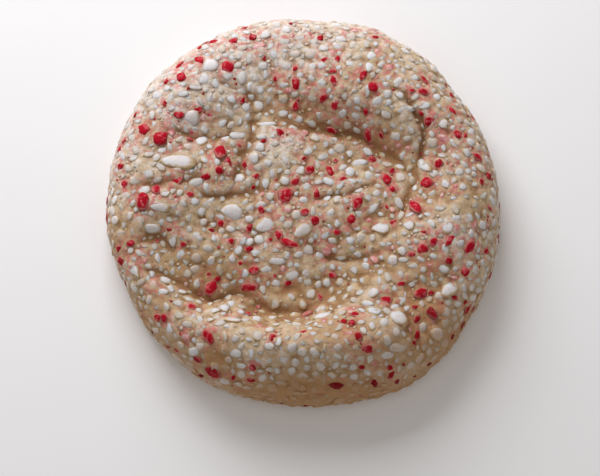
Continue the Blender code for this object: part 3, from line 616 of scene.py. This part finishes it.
# Where the crust differs: x, y, radius along, radius across, turn, the shares of the candy and of the fine sugar
# that lie there, and how browned the dough is, which is partly painted shade in hollows and on walls
crustPatches = (
    (-4.3, 11.5, 5.5, 3.6, -10, 0.1, 2.6, 0.0), (30.0, 1.0, 7.0, 4.5, 0, 0.1, 0.3, 0.1),
    (16.0, -6.6, 5.5, 2.4, 15, 0.1, 0.6, 0.0), (25.0, 20.0, 3.5, 2.8, -30, 0.1, 0.8, 0.0),
    (10.0, 24.6, 4.0, 2.4, 0, 0.1, 0.7, 0.0), (9.0, -19.2, 5.0, 2.0, 15, 0.1, 2.2, 0.0),
    (-2.0, -16.3, 5.0, 2.0, 0, 0.1, 0.3, 0.35), (-9.0, -24.0, 5.5, 2.0, 5, 0.1, 0.9, 0.0),
    (-16.0, -28.5, 3.0, 2.2, 0, 0.1, 0.6, 0.3), (-25.0, -19.0, 3.2, 2.2, 0, 0.1, 0.6, 0.2),
    (16.0, 12.6, 4.5, 2.4, -30, 0.1, 0.3, 0.4), (2.0, 18.5, 4.5, 1.7, 0, 0.1, 0.5, 0.2),
    (13.0, -13.2, 5.0, 2.0, 15, 0.1, 0.4, 0.3), (-9.0, 34.5, 5.0, 2.0, 10, 0.1, 1.0, 0.0),
    (4.0, 36.0, 8.0, 2.0, 0, 0.1, 1.0, 0.0), (16.0, 33.0, 6.0, 2.2, -25, 0.1, 1.0, 0.0),
    (-9.0, -5.0, 5.5, 3.5, -10, 1.0, 2.6, 0.0), (-22.5, 14.5, 5.0, 3.0, 0, 1.0, 1.6, 0.0),
    (28.5, -6.0, 4.5, 4.5, 0, 1.0, 2.2, 0.0), (-9.5, 7.5, 3.5, 4.0, 0, 1.0, 1.6, 0.0),
    (4.0, -5.0, 6.0, 2.5, -10, 1.0, 1.5, 0.0), (-19.0, -12.0, 8.0, 3.4, -6, 0.7, 0.2, 0.5),
    (-29.0, 14.5, 3.5, 3.0, 0, 0.8, 0.5, 0.3), (-16.0, -30.5, 4.5, 2.5, -15, 0.8, 0.4, 0.5),
    (22.0, -19.0, 4.0, 4.0, 0, 0.8, 0.5, 0.35), (-28.0, -18.5, 3.5, 3.5, 0, 0.8, 0.4, 0.35),
    (22.5, 2.0, 3.0, 4.0, 0, 0.9, 0.5, 0.25), (22.5, -12.5, 4.0, 3.0, 0, 0.8, 0.3, 0.4),
    (-35.0, -6.0, 4.0, 5.0, 0, 0.8, 0.4, 0.4), (-2.0, -25.5, 16.0, 3.5, 4, 1.0, 0.4, 0.12),
    (0.0, -37.0, 28.0, 3.5, 0, 0.4, 0.4, 0.45), (-25.0, -28.5, 9.0, 3.5, -45, 0.5, 0.4, 0.5),
    (-32.0, -20.0, 8.0, 2.6, -60, 0.6, 0.4, 0.45), (-9.7, -6.0, 4.0, 3.0, 0, 1.4, 1.7, 0.0),
    (-3.3, 13.5, 4.0, 3.0, 0, 1.2, 1.8, 0.0), (-22.6, 10.5, 4.0, 5.0, 0, 1.3, 1.5, 0.0),
    (3.0, 27.5, 4.0, 3.0, 0, 1.2, 1.4, 0.0), (10.0, -31.5, 9.0, 3.0, 4, 1.2, 1.3, -0.3),
    (-16.0, -32.0, 5.0, 3.0, -20, 0.7, 0.4, 0.35), (6.0, -25.3, 6.0, 3.0, 0, 0.9, 0.5, 0.3),
    (22.5, -19.5, 4.0, 3.0, 0, 0.8, 0.5, 0.25),
)
crushedCandy = {
    "seed": 20,
    "thickness": 0.36,  # of the width
    "rise": {"white": 0.04, "red": 0.14, "pink": 0.0},  # of the thickness, from the dough up to the chip's middle
    "tilt": 6,
    "sink": 0.5,  # the listed chips lie this much further to the front
    "sizes": {"red": 1.3, "bits": 1.55, "white": 1.23, "pink": 1.4},  # times the size that stands out of the dough
    "coatTop": 0.88,  # of the half thickness
    "coatFade": 0.75,
    "buriedAndShaded": 0.4,  # how much further up the coat and the painted shade of the foot reach on the chips in the hollows
    "footShade": 0.65,
    "gap": 0.86,  # of the two half lengths that neighbours keep between their middles
    # pieces, longest, shortest, slimmest, evenness of sizes
    "whiteScatter": (1150, 2.7, 1.3, 0.6, 1.3),
    "redScatter": (80, 2.1, 1.0, 0.6, 1.5),
    "pinkScatter": (240, 1.7, 0.7, 0.6, 1.3),
    "whiteCrumbs": (950, 1.1, 0.7, 0.6, 1.3),
    "redCrumbs": (240, 0.9, 0.4, 0.6, 1.3),
}


def makeShards(draw, count, fineness, unevenness):  # pebbles of broken candy, one unit in radius
    shards = []
    for _ in range(count):
        bm = bmesh.new()
        bmesh.ops.create_icosphere(bm, subdivisions=fineness, radius=1)
        turn = Matrix.Rotation(draw.uniform(0, 6), 4, Vector(draw.normal(size=3)).normalized())
        bmesh.ops.transform(bm, matrix=turn, verts=bm.verts[:])
        corners = np.array([v.co for v in bm.verts])
        for _ in range(draw.integers(4, 8)):  # flat broken sides
            side = draw.normal(size=3) * (1, 1, 0.5)
            side /= np.linalg.norm(side)
            corners -= np.maximum(corners @ side - draw.uniform(0.66, 0.92), 0)[:, None] * side
        corners *= 1 + draw.uniform(-unevenness, unevenness, (len(corners), 1))
        corners[:, 1:] *= 1 + draw.uniform(-0.25, 0.25) * corners[:, :1]
        corners[:, 2] += draw.uniform(-0.3, 0.3) * corners[:, 0]
        shards.append((corners / np.abs(corners).max(0), np.array([[v.index for v in f.verts] for f in bm.faces])))
        bm.free()
    return shards


def patchShare(points, place):  # 1 in the middle of a patch of the crust
    inside = np.exp(-ovalDistance(points[:, 0], points[:, 1] + doughForm["frontShift"], place) ** 2)
    return np.where(points[:, 2] > 5, inside, 0)


def startSeats(mesh, folds):  # every face of the dough is a seat that a piece of candy can take
    count = len(mesh.polygons)
    centres, normals, areas = np.empty(count * 3), np.empty(count * 3), np.empty(count)
    mesh.polygons.foreach_get("center", centres)
    mesh.polygons.foreach_get("normal", normals)
    mesh.polygons.foreach_get("area", areas)
    centres, normals = centres.reshape(-1, 3), normals.reshape(-1, 3)
    corners = np.empty(count * 3, np.int32)
    mesh.polygons.foreach_get("vertices", corners)
    crust = areas * smoothRamp((centres[:, 2] - 2.0) / 3.5)
    crust *= 1 - 0.85 * np.clip(folds[corners].reshape(-1, 3).mean(1) / 0.8, 0, 1)
    for *place, candy, _, _ in crustPatches:
        crust *= 1 + (candy - 1) * patchShare(centres, place)
    return {"centres": centres, "normals": normals, "chance": crust / crust.sum(), "taken": {}}


def cellOf(point):
    return tuple(int(math.floor(c / 2.5)) for c in point)


def isFree(seats, point, half):
    a, b, c = cellOf(point)
    for i in (a - 1, a, a + 1):
        for j in (b - 1, b, b + 1):
            for k in (c - 1, c, c + 1):
                for other, otherHalf in seats["taken"].get((i, j, k), ()):
                    if math.dist(point, other) < (half + otherHalf) * crushedCandy["gap"]:
                        return False
    return True


def take(seats, point, length, width):
    half = (length + width) / 4
    seats["taken"].setdefault(cellOf(point), []).append((tuple(point), half))


def listedChips(tree, seats, listed, size, draw):
    chips = []
    for entry in listed:
        x, y, length = entry[:3]
        length *= size
        width = entry[3] * size if len(entry) > 3 else length * draw.uniform(0.62, 0.9)
        turn = math.radians(entry[4]) if len(entry) > 3 else draw.uniform(0, np.pi)
        y -= doughForm["frontShift"] + crushedCandy["sink"]
        point, normal = tree.ray_cast(Vector((x, y, 40)), Vector((0, 0, -1)))[:2]
        if point is None or normal.z < 0.2:
            point, normal = tree.find_nearest(Vector((x, y, 6)))[:2]
        take(seats, point, length, width)
        chips.append((np.array(point), np.array(normal), length, width, turn))
    return chips


def scatteredChips(seats, settings, draw, mark=True):
    count, longest, shortest, slimmest, evenness = settings
    lengths = shortest + (longest - shortest) * np.linspace(1, 0, count) ** evenness
    tries = draw.choice(len(seats["chance"]), size=count * 12, p=seats["chance"])
    chips, spare = [], iter(tries)
    for length in lengths:
        width = length * draw.uniform(slimmest, 0.95)
        for face in spare:
            point = seats["centres"][face]
            if isFree(seats, point, (length + width) / 4):
                if mark:
                    take(seats, point, length, width)
                chips.append((point, seats["normals"][face], length, width, draw.uniform(0, np.pi)))
                break
    return chips


def joinChips(name, chips, shards, rise, draw, palest=0):  # one mesh of a kind's chips; the first ones are palest
    corners, faces, tints, coats, feet, start = [], [], [], [], [], 0
    for index, (point, normal, length, width, turn) in enumerate(chips):
        shape, triangles = shards[draw.integers(len(shards))]
        thickness = width * crushedCandy["thickness"] * draw.uniform(0.85, 1.1)
        up = normal + draw.normal(size=3) * math.radians(crushedCandy["tilt"])
        up /= np.linalg.norm(up)
        along = np.array([math.cos(turn), math.sin(turn), 0.0])
        along -= up * along.dot(up)
        if np.linalg.norm(along) < 0.2:
            along = np.cross(up, [0.3, 0.2, 0.9])
        along /= np.linalg.norm(along)
        axes = np.array([along * length, np.cross(up, along) * width, up * thickness]) / 2
        placed = shape @ axes + point + normal * thickness * rise
        low, high = placed.min(0), placed.max(0)
        placed += np.maximum(boxLow + 0.02 - low, 0) - np.maximum(high - boxHigh + 0.02, 0)
        corners.append(placed)
        faces.append(triangles + start)
        tints.append(np.full(len(shape), draw.uniform(0.65, 1) if index < palest else draw.uniform(0.1, 0.9)))
        # chips in the hollows get more coat and a darker foot, partly painted shade; the darker lower sides are painted
        # shade
        buriedAndShaded = crushedCandy["buriedAndShaded"] * smoothRamp(valley[seatTree.find(point)[1]] / 1.0)
        coats.append(smoothRamp((crushedCandy["coatTop"] + buriedAndShaded - shape[:, 2]) / crushedCandy["coatFade"]))
        feet.append(smoothRamp((0.55 + buriedAndShaded - shape[:, 2]) / 0.45))
        start += len(shape)
    mesh = bpy.data.meshes.new(name)
    mesh.from_pydata(np.vstack(corners), [], np.vstack(faces))
    mesh.shade_smooth()
    addAttribute(mesh, "tint", np.concatenate(tints))
    points = coordinates(mesh)
    # the coat thins on the upper left rim, partly as painted light
    addAttribute(mesh, "coat", np.concatenate(coats) * (1 - 0.8 * sugarAndLight(points)))
    # browned near the foot, with painted shade on the front and on the chips' lower sides
    addAttribute(mesh, "baked", np.maximum(browningAndShade(points) ** 2 * 0.85, np.concatenate(feet) * crushedCandy["footShade"]))
    return mesh


def browningAndShade(points):  # the foot of the dough is browned, partly by the oven and partly as painted shade, and the front is darkened more than the back as painted shade
    foot = smoothRamp((9.5 - points[:, 2]) / 7)
    # painted shade: darker towards the front
    near = smoothRamp((0.35 * points[:, 0] - 0.9 * points[:, 1] - 24) / 9)
    brown = (foot * 0.5 + 0.8 * near) * (1 - sugarAndLight(points))
    # the patches' browned dough is partly painted shade
    for *place, _, _, browned in crustPatches:
        brown += browned * patchShare(points, place)
    return np.clip(brown, 0, 1)


def sugarAndLight(points):  # the upper left rim, which faces the key light, is paler: partly fine sugar, partly painted light
    return smoothRamp((0.85 * points[:, 1] - 0.5 * points[:, 0] - 15) / 15)


mesh, folds = makeDough()
print("dough", len(mesh.polygons), "faces")

draw = np.random.default_rng(crushedCandy["seed"])
tree = BVHTree.FromPolygons([v.co for v in mesh.vertices], [p.vertices for p in mesh.polygons])
seats = startSeats(mesh, folds)
sizes = crushedCandy["sizes"]
reds = listedChips(tree, seats, redChips, sizes["red"], draw)
whites = listedChips(tree, seats, whiteChips, sizes["white"], draw)
pinks = listedChips(tree, seats, pinkChips, sizes["pink"], draw)
reds += listedChips(tree, seats, redBits, sizes["bits"], draw)
sides = dict(seats, chance=seats["chance"] * (seats["centres"][:, 2] < 11.5))
sides["chance"] /= sides["chance"].sum()
reds += scatteredChips(sides, crushedCandy["redScatter"], draw)
whites += scatteredChips(seats, crushedCandy["whiteScatter"], draw)
pinks += scatteredChips(seats, crushedCandy["pinkScatter"], draw)
whiteCrumbs = scatteredChips(seats, crushedCandy["whiteCrumbs"], draw)
redCrumbs = scatteredChips(seats, crushedCandy["redCrumbs"], draw, mark=False)
print("chips", len(whites), "white", len(reds), "red", len(pinks), "pink, crumbs", len(whiteCrumbs), len(redCrumbs))

swellDough(mesh, whites + reds + pinks + whiteCrumbs)
points = coordinates(mesh)
depth = hollowness(mesh, 14)
shallow, middle, deep = np.percentile(depth, (15, 50, 97))
# painted shade: the dough is darkened in its folds and crevices, where it is also browner
addAttribute(mesh, "fold", np.clip(folds / 1.2, 0, 1) * 0.7)
addAttribute(mesh, "creviceShade", smoothRamp((depth - middle) / (deep - middle)) * 0.8)
raised = smoothRamp((middle - depth) / (middle - shallow))
valley = hollowness(mesh, 160)
# partly fine sugar, partly painted light: paler towards the back, on the upper left rim and on raised points; less in
# the hollows, which paints shade there
dustAndLight = np.clip(0.8 + 0.4 * points[:, 1] / 38 - valley / 0.8, 0, 1.2) + sugarAndLight(points) * 2.5
for *place, _, sugarShare, _ in crustPatches:
    dustAndLight *= 1 + (sugarShare - 1) * patchShare(points, place)
addAttribute(mesh, "dustAndLight", (raised * 0.6 + 0.35) * dustAndLight)
# the foot's browned dough, plus painted shade on the front and in the hollows
addAttribute(mesh, "baked", np.clip(browningAndShade(points) * 0.9 + smoothRamp((valley - 0.2) / 0.9) * 0.5, 0, 0.94))
stain = nearChips(points, reds + pinks, 0.9, 2) * 0.9 + 0.06
for place in pinkStains:
    stain += 0.85 * np.exp(-ovalDistance(points[:, 0], points[:, 1] + doughForm["frontShift"], place))
addAttribute(mesh, "blush", np.clip(stain, 0, 0.85))
seatTree = KDTree(len(points))
for index, point in enumerate(points):
    seatTree.insert(point, index)
seatTree.balance()
dough = finishPiece("cookieDough", mesh, makeDoughMaterial(), "dough")
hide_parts("cookie")

shards = makeShards(draw, 16, 2, 0.1)
crumbShards = makeShards(draw, 10, 1, 0.15)
whiteCandy, redCandy, pinkCandy, sugar = (makeCandyMaterial(kind) for kind in ("white", "red", "pink", "sugar"))
for name, chips, palest, kind, rise, material, slot in (
    ("whiteChips", whites, len(whiteChips), shards, "white", whiteCandy, "white_candy"),
    ("redChips", reds, len(redChips), shards, "red", redCandy, "red_candy"),
    ("pinkChips", pinks, 0, shards, "pink", pinkCandy, "white_candy"),
    ("sugarCrumbs", whiteCrumbs, 0, crumbShards, "white", sugar, "white_candy"),
    ("redCrumbs", redCrumbs, 0, crumbShards, "red", redCandy, "red_candy"),
):
    chipMesh = joinChips(name, chips, kind, crushedCandy["rise"][rise], draw, palest)
    piece = finishPiece(name, chipMesh, material, slot)
    print(name, len(piece.data.polygons), "faces")

# Floor, light and camera

studio = {
    "floorSize": 3.0,
    "floorColour": (0.93, 0.93, 0.93, 1),
    "keyPlace": (-0.125, 0.325, 0.215),
    "keyPower": 1.85,
    "keySize": 0.3,
    "fillFrom": (0.1, -0.5, 1.0),
    "fillStrength": 0.48,
    "fillAngle": 80,
    "world": (0.235, 0.218, 0.203, 1),
    "keyColour": (0.985, 0.99, 1.03),
    "aim": (-0.0006, -0.0073, 0.010),
    "elevation": 74,
    "distance": 0.5,
    "lens": 159.8,
}


def makeFloor():
    bm = bmesh.new()
    bmesh.ops.create_grid(bm, x_segments=1, y_segments=1, size=studio["floorSize"] / 2)
    floorMesh = bpy.data.meshes.new("floor")
    bm.to_mesh(floorMesh)
    bm.free()
    material, _, _ = startMaterial("pale floor", {"Base Color": studio["floorColour"], "Roughness": 0.9,
                                                  "Specular IOR Level": 0.1})
    floorMesh.materials.append(material)
    floor = bpy.data.objects.new("floor", floorMesh)
    bpy.context.scene.collection.objects.link(floor)


def makeSun(name, direction, strength, angle):
    light = bpy.data.lights.new(name, "SUN")
    light.energy = strength
    light.angle = math.radians(angle)
    lamp = bpy.data.objects.new(name, light)
    lamp.rotation_euler = Vector(direction).to_track_quat("Z", "Y").to_euler()
    lamp.location = Vector(direction)
    bpy.context.scene.collection.objects.link(lamp)


def makeSoftbox():
    light = bpy.data.lights.new("key", "AREA")
    light.energy = studio["keyPower"]
    light.size = studio["keySize"]
    light.color = studio["keyColour"]
    lamp = bpy.data.objects.new("key", light)
    lamp.location = Vector(studio["keyPlace"])
    lamp.rotation_euler = Vector(studio["keyPlace"]).to_track_quat("Z", "Y").to_euler()
    bpy.context.scene.collection.objects.link(lamp)


def makeCamera():
    camera = bpy.data.objects.new("camera", bpy.data.cameras.new("camera"))
    camera.data.lens = studio["lens"]
    camera.data.sensor_width = 36
    camera.data.clip_start = 0.01
    rise = math.radians(studio["elevation"])
    toCamera = Vector((0, -math.cos(rise), math.sin(rise)))
    camera.location = Vector(studio["aim"]) + toCamera * studio["distance"]
    camera.rotation_euler = toCamera.to_track_quat("Z", "Y").to_euler()
    bpy.context.scene.collection.objects.link(camera)
    bpy.context.scene.camera = camera


makeFloor()
makeSoftbox()
makeSun("fill", studio["fillFrom"], studio["fillStrength"], studio["fillAngle"])
world = bpy.data.worlds.new("studio")
world.use_nodes = True
world.node_tree.nodes["Background"].inputs["Color"].default_value = studio["world"]
bpy.context.scene.world = world
bpy.context.scene.view_settings.view_transform = "Standard"
makeCamera()
